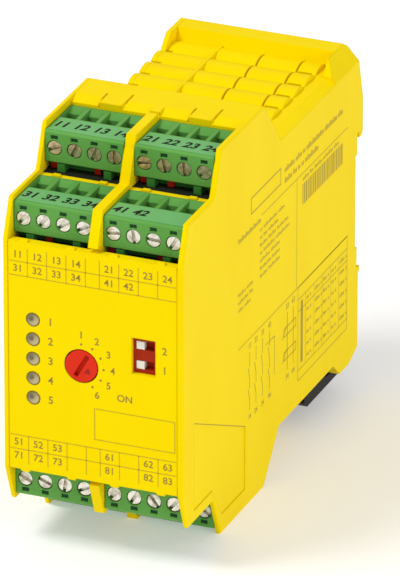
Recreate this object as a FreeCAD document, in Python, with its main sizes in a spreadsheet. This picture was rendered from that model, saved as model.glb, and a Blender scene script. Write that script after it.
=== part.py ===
"""Safety relay in a 45 mm rail-mounting housing, built as a parametric document.

Frame: X to the right seen from the front, Y to the back, Z up, millimetres.  The origin is the
centre of the rail seat, so the front panel lies at Y = -front_depth.  Profiles are drawn with the
depth behind the front panel, and every object's Placement moves them into the frame.
"""
import FreeCAD, Part
import math
import os
import Sketcher

os.makedirs("parts", exist_ok=True)
doc = FreeCAD.newDocument("safety_relay")
sheet = doc.addObject("Spreadsheet::Sheet", "sizes")
made = {}

SIZES = {
    # housing envelope and its stepped profile
    "width": 45.0, "height": 99.0, "front_depth": 110.9, "hook_reach": 3.6,
    "outer_wall": 1.25, "middle_wall": 2.5, "shell_wall": 1.6,
    "panel_drop": 20.2, "lean": 3.7, "front_tier_drop": 10.7, "front_tier_end": 19.5,
    "rear_tier_lean": 4.4, "rear_tier_end": 50.4, "shoulder_run": 10.2,
    "body_drop": 12.1, "edge_drop": 13.1, "edge_round": 0.6, "lip_drop": 8.3,
    "ear_ahead": 14.9, "ear_run": 4.0, "lip_ahead": 7.9, "lip_run": 1.3, "lip_top_ahead": 1.4,
    "hump_half": 25.8, "bevel_width": 5.5,
    "lip_bevel_width": 3.4,
    # louvres
    "louvre_pitch": 7.2, "louvre_rise": 1.1, "louvre_first": 61.2, "vent_height": 0.9,
    "vent_depth": 2.6, "left_vent_length": 2.7, "right_vent_from": 12.6, "right_vent_to": 16.0,
    "rib_left": -9.5, "groove_mid": 1.7, "groove_right": 12.0, "rib_width": 0.8,
    "groove_width": 0.5, "groove_depth": 0.35,
    # plug bays
    "plug_drop_front": 1.1, "plug_drop_rear": 1.7, "bay_clear": 0.2, "bay_floor": 1.2,
    "tray_depth": 10.2, "tray_top": 8.1, "shroud_top": 1.5, "shroud_length": 8.2,
    "face_rear": 22.4, "tab_height": 0.55, "tab_width": 1.8,
    "leg_offset": 5.85, "leg_width": 1.9, "tray_setback": 2.9,
    # plugs
    "pole_pitch": 5.0, "plug_gap": 0.15, "plug_length": 15.6, "plug_height": 7.8,
    "nose_length": 5.9, "nose_top": 2.4, "nose_bottom": 7.4, "nose_inset": 0.8,
    "strip_depth": 7.9, "funnel_width": 3.9, "funnel_back": 15.0, "funnel_lip": 1.0,
    "screw_drop": 4.3, "screw_bore": 3.8, "screw_head": 3.4, "screw_head_length": 1.5,
    "screw_inset": 0.25, "shank": 2.4, "shank_length": 6.2, "slot_width": 0.8, "slot_depth": 0.9,
    "mark_width": 1.8, "mark_height": 1.0, "mark_rise": 2.7, "mark_depth": 0.4,
    "cage_start": 4.4, "cage_end": 12.8, "cage_top": 2.2, "cage_bottom": 6.6, "cage_half": 1.8,
    "cage_wall": 0.5, "cage_clear": 0.15, "pin": 1.0, "coding": 1.5, "coding_inset": 1.6,
    # front panel and its controls
    "cover_thick": 2.4, "cover_inset": 0.15, "cover_gap": 0.15, "seam": 0.1,
    "lens_x": -15.0, "lens_pitch": 5.0,
    "lens_mid": -0.2, "lens_dia": 3.3, "dial_x": -2.9, "dial_dia": 8.0, "dial_gap": 0.3,
    "dial_slot": 1.1, "dial_slot_depth": 1.1, "dip_x": 12.7, "dip_z": 4.95,
    "dip_width": 6.0, "dip_height": 9.2, "dip_pitch": 5.0, "dip_slot": 4.4, "dip_slot_height": 2.2,
    "dip_knob": 2.0, "dip_inset": 1.3,
    # boards and what they carry
    "board": 1.6, "front_board": 9.0, "control_board": 29.3, "power_board": 48.0,
    "board_gap_left": 0.35, "board_gap_right": 0.25, "front_board_drop": 27.5,
    "control_board_drop": 13.6, "power_board_drop": 4.5, "rail_rib": 1.0, "rail_gap": 0.2,
    "relay_width": 12.8, "relay_length": 28.0, "relay_height": 25.0, "relay_x": 8.5, "relay_z": 15.5,
    "capacitor_dia": 10.0, "capacitor_length": 14.0, "capacitor_x": 13.0, "capacitor_z": 24.0,
    "chip": 10.0, "chip_height": 1.4, "chip_x": 7.5,
    # shallow relief on the right wall
    "field_depth": 0.25, "field_front": 7.0,
    "field_low": 13.3, "field_sink": 28.2, "field_sink_to": 39.0,
    # rail seat and foot latch
    "rail_half": 17.5, "rail_thick": 1.0, "rail_clear": 0.2, "seat_land": 5.3, "seat_relief": 1.1,
    "seat_edge": 1.5, "seat_step": 0.1,
    "hook_drop": 1.3, "foot_back": 0.9, "foot_top": 19.6, "latch_inset": 2.8, "neck_inset": 3.4,
    "latch_ahead": 5.8, "latch_plate": 3.0, "latch_clear": 0.2,
    "latch_rise": 5.3, "handle_ahead": 26.9, "spring_half": 8.0, "spring_rise": 6.0,
    "spring_thick": 0.5, "spring_seat": 30.5, "window_half": 9.0,
}


# sizes that follow others, each from a driving size and a named step or clearance
BAY_HALF = "((width - 2 * outer_wall - middle_wall) / 4)"
FITS = {
    "panel_half": "(height / 2 - panel_drop)",
    "front_tier_half": "(height / 2 - front_tier_drop)",
    "body_half": "(height / 2 - body_drop)",
    "edge_half": "(height / 2 - edge_drop)",
    "lip_half": "(height / 2 - lip_drop)",
    "ear_start": "(front_depth - ear_ahead)",
    "lip_start": "(front_depth - lip_ahead)",
    "lip_top_end": "(front_depth - lip_top_ahead)",
    "nose_half": f"({BAY_HALF} - nose_inset)",
    "cover_half": "(width / 2 - outer_wall - cover_gap)",
    "board_left": "(-(width / 2 - outer_wall - board_gap_left))",
    "board_right": "(width / 2 - outer_wall - board_gap_right)",
    "front_board_half": "(height / 2 - front_board_drop)",
    "control_board_half": "(height / 2 - control_board_drop)",
    "power_board_half": "(height / 2 - power_board_drop)",
    "latch_half": "(width / 2 - latch_inset)",
    "latch_neck": "(width / 2 - latch_inset - neck_inset)",
    "latch_front": "(front_depth - latch_ahead)",
    "latch_step": "(front_depth - latch_ahead + latch_plate)",
    "latch_bottom": "(height / 2 - latch_rise)",
    "handle_front": "(front_depth - handle_ahead)",
}


def fill_sheet():
    for row, (name, value) in enumerate(SIZES.items(), start=1):
        sheet.set(f"A{row}", name)
        sheet.set(f"B{row}", str(value))
        sheet.setAlias(f"B{row}", name)
    doc.recompute()


def expr(text):
    """Turn a readable formula, such as 'width / 2 - outer_wall', into one that names the sheet."""
    text = str(text)
    words = []
    word = ""
    for letter in text + " ":
        if letter.isalnum() or letter == "_":
            word += letter
            continue
        if word in FITS:
            word = expr(FITS[word])
        words.append("sizes." + word if word in SIZES else word)
        words.append(letter)
        word = ""
    return "".join(words).strip()


def value(text):
    """The number that a formula on the sheet gives now."""
    result = sheet.evalExpression(expr(text))
    return float(getattr(result, "Value", result))


def seat_object(item, label, x="0", y="-front_depth", z="0", turn=0.0, axis=(0, 1, 0)):
    """Give an object its name and bind its place to the sheet."""
    item.Label = label
    item.Placement = FreeCAD.Placement(
        FreeCAD.Vector(value(x), value(y), value(z)),
        FreeCAD.Rotation(FreeCAD.Vector(*axis), turn))
    item.setExpression("Placement.Base.x", expr(x))
    item.setExpression("Placement.Base.y", expr(y))
    item.setExpression("Placement.Base.z", expr(z))


# ---------------------------------------------------------------- sketches and body features

def new_body(label, **place):
    body = doc.addObject("PartDesign::Body", label)
    body.AllowCompound = True
    seat_object(body, label, **place)
    made[label] = body
    return body


def draw_loop(sketch, points):
    """Add a closed outline whose corners are bound to formulas."""
    first = sketch.GeometryCount
    count = len(points)
    spots = [FreeCAD.Vector(value(u), value(v), 0) for u, v in points]
    for index in range(count):
        sketch.addGeometry(Part.LineSegment(spots[index], spots[(index + 1) % count]), False)
    for index in range(count):
        here = first + index
        after = first + (index + 1) % count
        sketch.addConstraint(Sketcher.Constraint("Coincident", here, 2, after, 1))
    for index, (u, v) in enumerate(points):
        for kind, formula in (("DistanceX", u), ("DistanceY", v)):
            number = sketch.addConstraint(
                Sketcher.Constraint(kind, first + index, 1, value(formula)))
            sketch.setExpression(f"Constraints[{number}]", expr(formula))


def draw_circle(sketch, u, v, radius):
    number = sketch.addGeometry(
        Part.Circle(FreeCAD.Vector(value(u), value(v), 0), FreeCAD.Vector(0, 0, 1), value(radius)),
        False)
    for kind, formula in (("DistanceX", u), ("DistanceY", v)):
        place = sketch.addConstraint(Sketcher.Constraint(kind, number, 3, value(formula)))
        sketch.setExpression(f"Constraints[{place}]", expr(formula))
    size = sketch.addConstraint(Sketcher.Constraint("Radius", number, value(radius)))
    sketch.setExpression(f"Constraints[{size}]", expr(radius))


def new_sketch(body, name, plane, loops, place):
    sketch = body.newObject("Sketcher::SketchObject", f"{body.Name}_{name}_sketch")
    support = [item for item in body.Origin.OriginFeatures if item.Role == plane + "_Plane"][0]
    sketch.AttachmentSupport = [(support, "")]
    sketch.MapMode = "FlatFace"
    sketch.setExpression("AttachmentOffset.Base.z", expr(place))
    for loop in loops:
        if loop[0] == "circle":
            draw_circle(sketch, *loop[1:])
        else:
            draw_loop(sketch, loop)
    return sketch


def sweep(body, name, kind, plane, loops, start, end):
    """Pad or pocket outlines between two coordinates along the plane's normal."""
    # the XZ plane's normal points to -Y, so its sketch starts at the far end
    place = f"-({end})" if plane == "XZ" else start
    sketch = new_sketch(body, name, plane, loops, place)
    feature = body.newObject("PartDesign::" + kind, f"{body.Name}_{name}")
    feature.Profile = sketch
    feature.Type = "Length"
    feature.setExpression("Length", expr(f"({end}) - ({start})"))
    feature.Reversed = kind == "Pocket"
    feature.Refine = True
    sketch.Visibility = False
    return feature


def pad(body, name, plane, loops, start, end):
    return sweep(body, name, "Pad", plane, loops, start, end)


def pocket(body, name, plane, loops, start, end):
    return sweep(body, name, "Pocket", plane, loops, start, end)


def repeat(body, name, features, axis, pitch, count):
    """Repeat features in a straight row along an axis of the body."""
    pattern = body.newObject("PartDesign::LinearPattern", f"{body.Name}_{name}")
    pattern.Originals = features
    line = [item for item in body.Origin.OriginFeatures if item.Role == axis + "_Axis"][0]
    pattern.Direction = (line, [""])
    pattern.Mode = "Spacing"
    pattern.setExpression("Offset", expr(pitch))
    pattern.Occurrences = count
    body.Tip = pattern
    return pattern


def round_edges(body, name, pick, radius):
    """Round the edges of the body that pick chooses by their two ends, given in its own axes."""
    doc.recompute()
    base = body.Tip
    chosen = []
    for number, edge in enumerate(base.Shape.Edges, start=1):
        ends = [vertex.Point for vertex in edge.Vertexes]
        if len(ends) == 2 and all(pick(end) for end in ends):
            chosen.append(f"Edge{number}")
    if not chosen:
        raise RuntimeError("no edge to round: " + name)
    feature = body.newObject("PartDesign::Fillet", f"{body.Name}_{name}")
    feature.Base = (base, chosen)
    feature.setExpression("Radius", expr(radius))
    body.Tip = feature
    return feature


def rectangle(u0, u1, v0, v1):
    return [(u0, v0), (u1, v0), (u1, v1), (u0, v1)]


def mirror_loop(loop):
    """The same outline below the middle plane."""
    return [(u, f"-({v})") for u, v in reversed(loop)]


def both_ends(loops):
    """Outlines together with their mirror images below the middle plane."""
    return loops + [mirror_loop(loop) for loop in loops]


# ---------------------------------------------------------------- simple solids

def new_box(name, x0, x1, y0, y1, z0, z1):
    """A box between coordinates; y is the depth behind the front panel."""
    box = doc.addObject("Part::Box", name)
    box.setExpression("Length", expr(f"({x1}) - ({x0})"))
    box.setExpression("Width", expr(f"({y1}) - ({y0})"))
    box.setExpression("Height", expr(f"({z1}) - ({z0})"))
    seat_object(box, name, x=x0, y=f"({y0}) - front_depth", z=z0)
    return box


def new_rod(name, x, z, radius, y0, y1):
    """A round bar along Y."""
    rod = doc.addObject("Part::Cylinder", name)
    rod.setExpression("Radius", expr(radius))
    rod.setExpression("Height", expr(f"({y1}) - ({y0})"))
    seat_object(rod, name, x=x, y=f"({y0}) - front_depth", z=z, turn=-90.0, axis=(1, 0, 0))
    return rod


def join(name, pieces):
    fuse = doc.addObject("Part::MultiFuse", name)
    fuse.Shapes = pieces
    fuse.Label = name
    fuse.Refine = True
    return fuse


def cut(name, base, tools):
    tool = tools[0] if len(tools) == 1 else join(name + "_tools", tools)
    result = doc.addObject("Part::Cut", name)
    result.Base = base
    result.Tool = tool
    result.Label = name
    return result


def group(name, pieces):
    """One node that holds several separate solids."""
    bundle = doc.addObject("Part::Compound", name)
    bundle.Links = pieces
    bundle.Label = name
    made[name] = bundle
    return bundle


# ---------------------------------------------------------------- shared places

TIERS = {
    "front": {"top": "(front_tier_half - plug_drop_front)", "face": "lean"},
    "rear": {"top": "(height / 2 - plug_drop_rear)", "face": "face_rear"},
}
SIDES = {"left": -1, "right": 1}
ENDS = {"top": 1, "bottom": -1}
# how far each clamp screw stands turned, in degrees, pole by pole
SCREW_TURNS = {
    "top_front_left": (-50, -52, -38, -28), "top_front_right": (-8, 82, 5, -58),
    "top_rear_left": (-25, -62, -66, 88), "top_rear_right": (-12, 80, 84, -40),
    "bottom_front_left": (-28, -82, 22, 25), "bottom_front_right": (-50, 55, -58, -48),
    "bottom_rear_left": (15, -40, 70, -20), "bottom_rear_right": (35, -75, 10, 60),
}
# where the coding pieces sit across each plug
CODING_END = f"(-({BAY_HALF} - coding_inset))"
CODING_PLACES = {
    "top_front_left": ("-1.8",), "top_front_right": (CODING_END, "3.7"),
    "top_rear_left": (CODING_END, "2.6"), "top_rear_right": (CODING_END, "-1.6"),
    "bottom_front_left": ("2.0",), "bottom_front_right": ("-3.0",),
    "bottom_rear_left": ("-2.4",), "bottom_rear_right": ("4.0",),
}


def bay_mid():
    return f"(middle_wall / 2 + {BAY_HALF})"


def bay_back(tier):
    """Depth of the wall behind a plug, where its header starts."""
    return f"({TIERS[tier]['face']} + plug_length + bay_clear)"


def tray_bottom(tier):
    return f"({TIERS[tier]['top']} - tray_depth)"


# ---------------------------------------------------------------- housing

def upper_steps():
    """The stepped outline above the middle plane, from the front panel to the back of tier two."""
    rear = "height / 2"
    return [("0", "panel_half"), ("lean", "front_tier_half"),
            ("front_tier_end", "front_tier_half"),
            ("front_tier_end + rear_tier_lean", rear), ("rear_tier_end", rear)]


def housing_outline(body_level, lip_front, lip_slope):
    """The whole side outline: steps, body, lip and hook at the top, rail seat, foot, and back."""
    seat = "front_depth"
    foot = "front_depth + foot_back"
    top = upper_steps() + [
        (f"rear_tier_end + shoulder_run * (height / 2 - {body_level}) / (height / 2 - body_half)",
         body_level),
        (lip_front, body_level), (f"{lip_front} + {lip_slope}", "lip_half"),
        ("lip_top_end", "lip_half"), ("lip_top_end + 1.3", "lip_half - 1"),
        (f"{seat} + hook_reach", "hump_half"),
        (f"{seat} + hook_reach", "rail_half - rail_clear"),
        (f"{seat} + hook_reach - 0.9", "rail_half - hook_drop"),
        (f"{seat} + rail_thick + 1.5 * rail_clear", "rail_half - hook_drop"),
        (f"{seat} + rail_thick + 1.5 * rail_clear", "rail_half + rail_clear"),
        (f"{seat} - seat_step", "rail_half + rail_clear"),
        (f"{seat} - seat_step", "rail_half - seat_edge"), (seat, "rail_half - seat_edge"),
        (seat, "rail_half - seat_land"),
        (f"{seat} - seat_relief", "rail_half - seat_land"),
    ]
    low = [
        (f"{seat} - seat_relief", "-(rail_half - seat_land)"), (seat, "-(rail_half - seat_land)"),
        (seat, "-(rail_half - seat_edge)"), (f"{seat} - seat_step", "-(rail_half - seat_edge)"),
        (f"{seat} - seat_step", "-(rail_half + rail_clear)"),
        (f"{foot} + 0.9", "-(rail_half + rail_clear)"),
        (f"{foot} + 0.9", "-(foot_top - 0.7)"), (foot, "-foot_top"), (foot, "-(lip_half - 2.4)"),
        ("lip_top_end - 3.6", "-lip_half"), (f"{lip_front} + {lip_slope}", "-lip_half"),
        (lip_front, f"-({body_level})"),
        (f"rear_tier_end + shoulder_run * (height / 2 - {body_level}) / (height / 2 - body_half)",
         f"-({body_level})"),
    ]
    bottom = [(depth, f"-({level})") for depth, level in reversed(upper_steps())]
    return top + low + bottom


def cavity_outline():
    """The space inside, open to the left and closed by the side cover."""
    wall = "shell_wall"
    front_floor = f"{tray_bottom('front')} - bay_floor"
    rear_floor = f"{tray_bottom('rear')} - bay_floor"
    shoulder = f"{TIERS['rear']['top']} - shroud_top + 0.2"
    front_back = f"{bay_back('front')} + {wall} - 0.2"
    rear_back = f"{bay_back('rear')} + {wall} - 0.2"
    body = "body_half - shell_wall + 0.3"
    top = [("cover_thick", front_floor), (front_back, front_floor), (front_back, rear_floor),
           (rear_back, rear_floor), (rear_back, shoulder), ("power_board + board + 0.2", shoulder),
           ("rear_tier_end + shoulder_run", body)]
    bottom = [(depth, f"-({level})") for depth, level in reversed(top)]
    back = [("lip_top_end - 0.8", body),
            ("front_depth + hook_reach - 1.9", "hump_half"),
            ("front_depth + hook_reach - 1.9", "rail_half + rail_clear + 1.9"),
            ("front_depth - seat_relief - 1.6", "rail_half + rail_clear + 1.9"),
            ("front_depth - seat_relief - 1.6", "-(rail_half - seat_land)"),
            ("latch_front - 1.6", "-(rail_half - seat_land)"),
            ("latch_front - 1.6", f"-({body})")]
    return top + back + bottom


def bay_loop():
    """Both plug bays as one stepped outline, with the windows that the headers reach through."""
    loop = [("-1", tray_bottom("front"))]
    for tier in ("front", "rear"):
        window = f"{TIERS[tier]['top']} - shroud_top + 0.1"
        back = bay_back(tier)
        loop += [(f"{back} + shell_wall", tray_bottom(tier)), (f"{back} + shell_wall", window),
                 (back, window)]
        loop.append((back, tray_bottom("rear") if tier == "front" else "height"))
    loop.append(("-1", "height"))
    return loop


def cut_bays(body):
    inner = "middle_wall / 2"
    outer = "width / 2 - outer_wall"
    pocket(body, "bays_right", "YZ", both_ends([bay_loop()]), inner, outer)
    pocket(body, "bays_left", "YZ", both_ends([bay_loop()]), f"-({outer}) - 1", f"-({inner})")


def cut_bevels(body):
    """The long bevel on the right of the top, steeper where the lip stands higher."""
    right = "width / 2"
    low = [(f"{right} - bevel_width", "body_half + louvre_rise"), (right, "edge_half"),
           (f"{right} + 1", "edge_half"), (f"{right} + 1", "body_half + louvre_rise + 0.1"),
           (f"{right} - bevel_width", "body_half + louvre_rise + 0.1")]
    high = [(f"{right} - lip_bevel_width", "lip_half + 0.1"), (right, "edge_half"),
            (f"{right} + 1", "edge_half"), (f"{right} + 1", "lip_half + 0.1")]
    pocket(body, "bevel", "XZ", [low], "rear_tier_end + shoulder_run + 0.3", "ear_start + 0.5")
    pocket(body, "lip_bevel", "XZ", [high], "ear_start", "front_depth + hook_reach + 1")


def louvre_rows():
    """How many louvres fit between the shoulder and the lip; the last one runs under the lip."""
    return round(value("(lip_start - louvre_first) / louvre_pitch"))


def louvre_field(body, start, end):
    """Rows of rounded louvres between two sides, above and below."""
    radius = "(louvre_pitch * louvre_pitch / (8 * louvre_rise) + louvre_rise / 2)"
    centre = f"(body_half + louvre_rise - {radius})"
    loops = [("circle", "louvre_first + louvre_pitch / 2", level, radius)
             for level in (centre, f"-{centre}")]
    row = pad(body, "louvre", "YZ", loops, start, end)
    return repeat(body, "louvres", [row], "Y", "louvre_pitch", louvre_rows())


def louvre_columns(body):
    """A raised rib and two grooves that run back across the louvres."""
    crest = "body_half + louvre_rise"
    front = "rear_tier_end + shoulder_run - 0.3"
    back = "lip_start + 0.2"
    rib = rectangle("rib_left - rib_width / 2", "rib_left + rib_width / 2", "body_half - 0.5",
                    f"{crest} + 0.05")
    grooves = [rectangle(f"{place} - groove_width / 2", f"{place} + groove_width / 2",
                         "body_half - groove_depth", f"{crest} + 1")
               for place in ("groove_mid", "groove_right")]
    pad(body, "louvre_rib", "XZ", both_ends([rib]), front, back)
    pocket(body, "louvre_grooves", "XZ", both_ends(grooves), front, back)


def cut_vents(body, name, start, end):
    """A vent in each valley between the louvres."""
    middle = "(louvre_first + louvre_pitch)"
    slot = rectangle(f"{middle} - vent_height / 2", f"{middle} + vent_height / 2",
                     "body_half - vent_depth", "body_half + 0.25")
    vent = pocket(body, name, "YZ", both_ends([slot]), start, end)
    return repeat(body, name + "_row", [vent], "Y", "louvre_pitch", louvre_rows() - 1)


def shoulder_details(body):
    """A sloping sill behind the rear plugs, with a block, a slit and a notch behind each."""
    back = bay_back("rear")
    top = "height / 2"
    sill = [(f"{back} - 1", f"{top} - 1.3"), (f"{back} + 3.2", top), (f"{back} + 3.2", f"{top} + 1"),
            (f"{back} - 1", f"{top} + 1")]
    pocket(body, "sill", "YZ", [sill], "-(width / 2)", "width / 2 - outer_wall")
    mids = [bay_mid(), f"-{bay_mid()}"]
    level = f"{top} - 1.5"
    blocks = [rectangle(f"{mid} - 2.8", f"{mid} + 2.8", level, top) for mid in mids]
    blocks.append(rectangle("-middle_wall / 2", "middle_wall / 2", level, top))
    slits = [rectangle(f"{mid} - 3.1", f"{mid} - 2.7", level, f"{top} + 1") for mid in mids]
    notches = [rectangle(f"{mid} + 2.8", f"{mid} + 3.3", f"{top} - 0.5", f"{top} + 1")
               for mid in mids]
    pad(body, "sill_blocks", "XZ", blocks, f"{back} - 0.01", f"{back} + 3.5")
    pocket(body, "sill_slits", "XZ", slits, f"{back} - 1", f"{back} + 5.5")
    pocket(body, "sill_notches", "XZ", notches, f"{back} - 1", f"{back} + 7")


def board_ribs(body, plane_start, plane_end, name):
    """Pairs of ribs that hold the edges of the three boards."""
    loops = []
    for place, half in (("front_board", "front_board_half"), ("control_board", "control_board_half"),
                        ("power_board", "power_board_half - 6")):
        front = f"{place} - rail_gap - rail_rib"
        back = f"{place} + board + rail_gap"
        loops.append(rectangle(front, f"{place} - rail_gap", f"-({half} - 9)", f"{half} - 9"))
        loops.append(rectangle(back, f"{back} + rail_rib", f"-({half} - 9)", f"{half} - 9"))
    return pad(body, name, "YZ", loops, plane_start, plane_end)


def sill_tabs(body, depth, level, name):
    """Small tabs on a front edge, each in front of a header leg."""
    loops = []
    for mid in (bay_mid(), f"-{bay_mid()}"):
        for place in ("-leg_offset", "leg_offset"):
            centre = f"{mid} + {place}"
            loops.append([(f"{centre} - tab_width / 2 - tab_height", level),
                          (f"{centre} + tab_width / 2", level),
                          (f"{centre} + tab_width / 2", f"{level} + tab_height"),
                          (f"{centre} - tab_width / 2", f"{level} + tab_height")])
    pad(body, name, "XZ", both_ends(loops), depth, f"{depth} + 1")


def cut_latch_slot(body):
    """The slot at the back in which the foot latch slides, narrower behind its flanges."""
    clear = "latch_clear"
    wide = [(f"-(latch_half + {clear})", "-height"), (f"latch_half + {clear}", "-height"),
            (f"latch_half + {clear}", f"-(foot_top - {clear})"),
            (f"-(latch_half + {clear})", f"-(foot_top - {clear})")]
    neck = [(f"-(latch_neck + {clear})", "-height"), (f"latch_neck + {clear}", "-height"),
            (f"latch_neck + {clear}", f"-(rail_half + {clear})"),
            (f"-(latch_neck + {clear})", f"-(rail_half + {clear})")]
    pocket(body, "latch_slot", "XZ", [wide], f"latch_front - {clear}", f"latch_step + {clear}")
    pocket(body, "latch_neck", "XZ", [neck], "latch_step", "front_depth + hook_reach + 1")
    pad(body, "spring_seat", "XZ",
        [rectangle("-(window_half - 0.4)", "window_half - 0.4", "-(spring_seat + 1.5)",
                   "-spring_seat")], f"latch_front - {clear} - 0.4", "latch_step")


def make_housing():
    body = new_body("housing_body")
    left = "-(width / 2 - outer_wall)"
    right = "width / 2"
    pad(body, "profile", "YZ", [housing_outline("body_half", "ear_start", "ear_run")], left, right)
    round_outline(body, value(right))
    inner = [("ear_start - 0.5", "body_half"), ("lip_start", "body_half"),
             ("lip_start + lip_run", "lip_half"), ("lip_start + lip_run", "lip_half + 1"),
             ("ear_start - 0.5", "lip_half + 1")]
    pocket(body, "between_ears", "YZ", both_ends([inner]), left, "width / 2 - lip_bevel_width")
    louvre_field(body, left, "width / 2 - bevel_width")
    pocket(body, "cavity", "YZ", [cavity_outline()], f"{left} - 1", "width / 2 - outer_wall")
    front = rectangle(f"{left} - 1", "cover_half + seam", "-(panel_half + 1)", "panel_half + 1")
    pocket(body, "front_opening", "XZ", [front], "-1", "cover_thick")
    relieve_wall(body)
    cut_latch_slot(body)
    board_ribs(body, "width / 2 - outer_wall - rail_rib", "width / 2 - outer_wall + 0.1", "ribs")
    cut_bays(body)
    shoulder_details(body)
    cut_bevels(body)
    louvre_columns(body)
    sill_tabs(body, "front_tier_end", tray_bottom("rear"), "rear_tabs")
    cut_vents(body, "left_vent", f"{left} - 1", "-(width / 2 - left_vent_length)")
    cut_vents(body, "right_vent", "right_vent_from", "right_vent_to")
    return body


def round_outline(body, side):
    """Round the outer edge of a side wall from the front panel to the top of the shoulder."""
    limit = value("rear_tier_end") + 0.01
    round_edges(body, "edge_round", lambda end: abs(end.x - side) < 0.01 and end.y < limit,
                "edge_round")


def relieve_wall(body):
    """A field round the bays that stands a little below the rest of the right wall."""
    face = "width / 2"
    low = "-(height / 2 - 5)"
    field = [("field_front", "-field_low"), ("field_sink_to", "-field_sink"),
             ("field_sink_to", low), ("rear_tier_lean + 20", low),
             ("front_tier_end - 1", "-(front_tier_half - 3)"),
             ("field_front", "-(front_tier_half - 3)")]
    pocket(body, "wall_field", "YZ", [field], f"{face} - field_depth", f"{face} + 1")


def make_side_cover():
    body = new_body("side_cover")
    outer = "-width / 2"
    inner = "-(width / 2 - outer_wall)"
    pad(body, "profile", "YZ", [housing_outline("body_half", "ear_start", "ear_run")], outer, inner)
    round_outline(body, value(outer))
    louvre_field(body, outer, inner)
    cut_vents(body, "vent", f"{outer} - 1", f"{inner} + 1")
    board_ribs(body, f"{inner} - 0.1", "board_left + rail_rib", "ribs")
    return body


def make_front_cover():
    body = new_body("front_cover")
    half = "panel_half - seam"
    pad(body, "plate", "XZ", [rectangle("-(cover_half + seam)", "cover_half", f"-({half})", half)],
        "cover_inset", "cover_thick - seam")
    sill_tabs(body, "cover_inset", half, "tabs")
    holes = [("circle", "lens_x", f"lens_mid + {step} * lens_pitch", "lens_dia / 2 + 0.1")
             for step in range(-2, 3)]
    holes.append(("circle", "dial_x", "0", "dial_dia / 2 + dial_gap"))
    holes.append(rectangle("dip_x - dip_width / 2", "dip_x + dip_width / 2",
                           "dip_z - dip_height / 2", "dip_z + dip_height / 2"))
    pocket(body, "windows", "XZ", holes, "-1", "cover_thick + 1")
    return body


# ---------------------------------------------------------------- plugs, clamps and headers

def place_at_bay(tier, end, side):
    """Placement of a piece drawn about a bay's middle, its top face at zero."""
    sign = SIDES[side]
    x = bay_mid() if sign > 0 else f"-{bay_mid()}"
    z = TIERS[tier]["top"] if ENDS[end] > 0 else f"-{TIERS[tier]['top']}"
    turn = 0.0 if ENDS[end] > 0 else 180.0
    return {"x": x, "y": f"{TIERS[tier]['face']} - front_depth", "z": z, "turn": turn}


def poles():
    """How many poles fit side by side in a bay."""
    return int(value(f"2 * {BAY_HALF} / pole_pitch") + 0.001)


def pole_place(pole):
    return f"{pole - (poles() - 1) / 2} * pole_pitch"


def make_plug(name, place):
    body = new_body("plug_" + name, **place)
    half = f"({BAY_HALF} - plug_gap)"
    face = [("0.5", "0"), ("plug_length", "0"), ("plug_length", "-plug_height"),
            ("0", "-plug_height"), ("0", "-0.5")]
    pad(body, "block", "YZ", [face], f"-{half}", half)
    pad(body, "nose", "XZ", [rectangle("-nose_half", "nose_half", "-nose_bottom", "-nose_top")],
        "plug_length - 0.5", "plug_length + nose_length")
    first = pole_place(0)
    bore = pocket(body, "screw_bore", "XZ",
                  [("circle", first, "-screw_drop", "screw_bore / 2")], "-1", "cage_start + 0.5")
    mark = pocket(body, "mark", "XZ",
                  [rectangle(f"{first} - mark_width / 2", f"{first} + mark_width / 2",
                             "-screw_drop + mark_rise - mark_height / 2",
                             "-screw_drop + mark_rise + mark_height / 2")], "-1", "mark_depth")
    cage = pocket(body, "cage_room", "YZ",
                  [rectangle("cage_start", "cage_end", "-cage_bottom", "-cage_top")],
                  f"{first} - cage_half - 0.05", f"{first} + cage_half + 0.05")
    funnel = pocket(body, "funnel", "YZ",
                    [[("strip_depth + 0.3", "1"), ("strip_depth + 0.3", "-cage_top - 0.1"),
                      ("cage_end", "-cage_top - 0.1"), ("cage_end", "-funnel_lip"),
                      ("funnel_back", "0"),
                      ("funnel_back", "1")]],
                    f"{first} - funnel_width / 2", f"{first} + funnel_width / 2")
    contact = pocket(body, "contact", "XZ",
                     [rectangle(f"{first} - pin / 2 - 0.2", f"{first} + pin / 2 + 0.2",
                                "-(nose_top + nose_bottom) / 2 - pin / 2 - 0.2",
                                "-(nose_top + nose_bottom) / 2 + pin / 2 + 0.2")],
                     "plug_length + 0.6", "plug_length + nose_length + 1")
    repeat(body, "poles", [bore, mark, cage, funnel, contact], "X", "pole_pitch", poles())
    return body


def make_screws(name, tier, end, side):
    """Four clamp screws: a slotted cheese head and a shank, each turned its own way."""
    place = place_at_bay(tier, end, side)
    flip = ENDS[end]
    screws = []
    for pole, turn in enumerate(SCREW_TURNS[name][:poles()]):
        x = f"{place['x']} + {flip} * {pole_place(pole)}"
        z = f"{place['z']} - {flip} * screw_drop"
        face = TIERS[tier]["face"]
        start = f"{face} + screw_inset"
        neck = f"{start} + screw_head_length"
        label = f"screw_{name}_{pole}"
        head = new_rod(label + "_head", x, z, "screw_head / 2", start, neck)
        shank = new_rod(label + "_shank", x, z, "shank / 2", neck, f"{neck} + shank_length")
        slot = doc.addObject("Part::Box", label + "_slot")
        slot.setExpression("Length", expr("screw_head + 1"))
        slot.setExpression("Width", expr("slot_depth + 1"))
        slot.setExpression("Height", expr("slot_width"))
        angle = math.radians(turn)
        across = f"(screw_head + 1) / 2 * {math.cos(angle):.6f}"
        seat_object(slot, label + "_slot",
                    x=f"{x} - {across} - slot_width / 2 * {math.sin(angle):.6f}",
                    y=f"{start} - 1 - front_depth",
                    z=f"{z} + (screw_head + 1) / 2 * {math.sin(angle):.6f} "
                      f"- slot_width / 2 * {math.cos(angle):.6f}", turn=turn)
        screws.append(cut(label, join(label + "_turned", [head, shank]), [slot]))
    return group("clamp_screws_" + name, screws)


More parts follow.
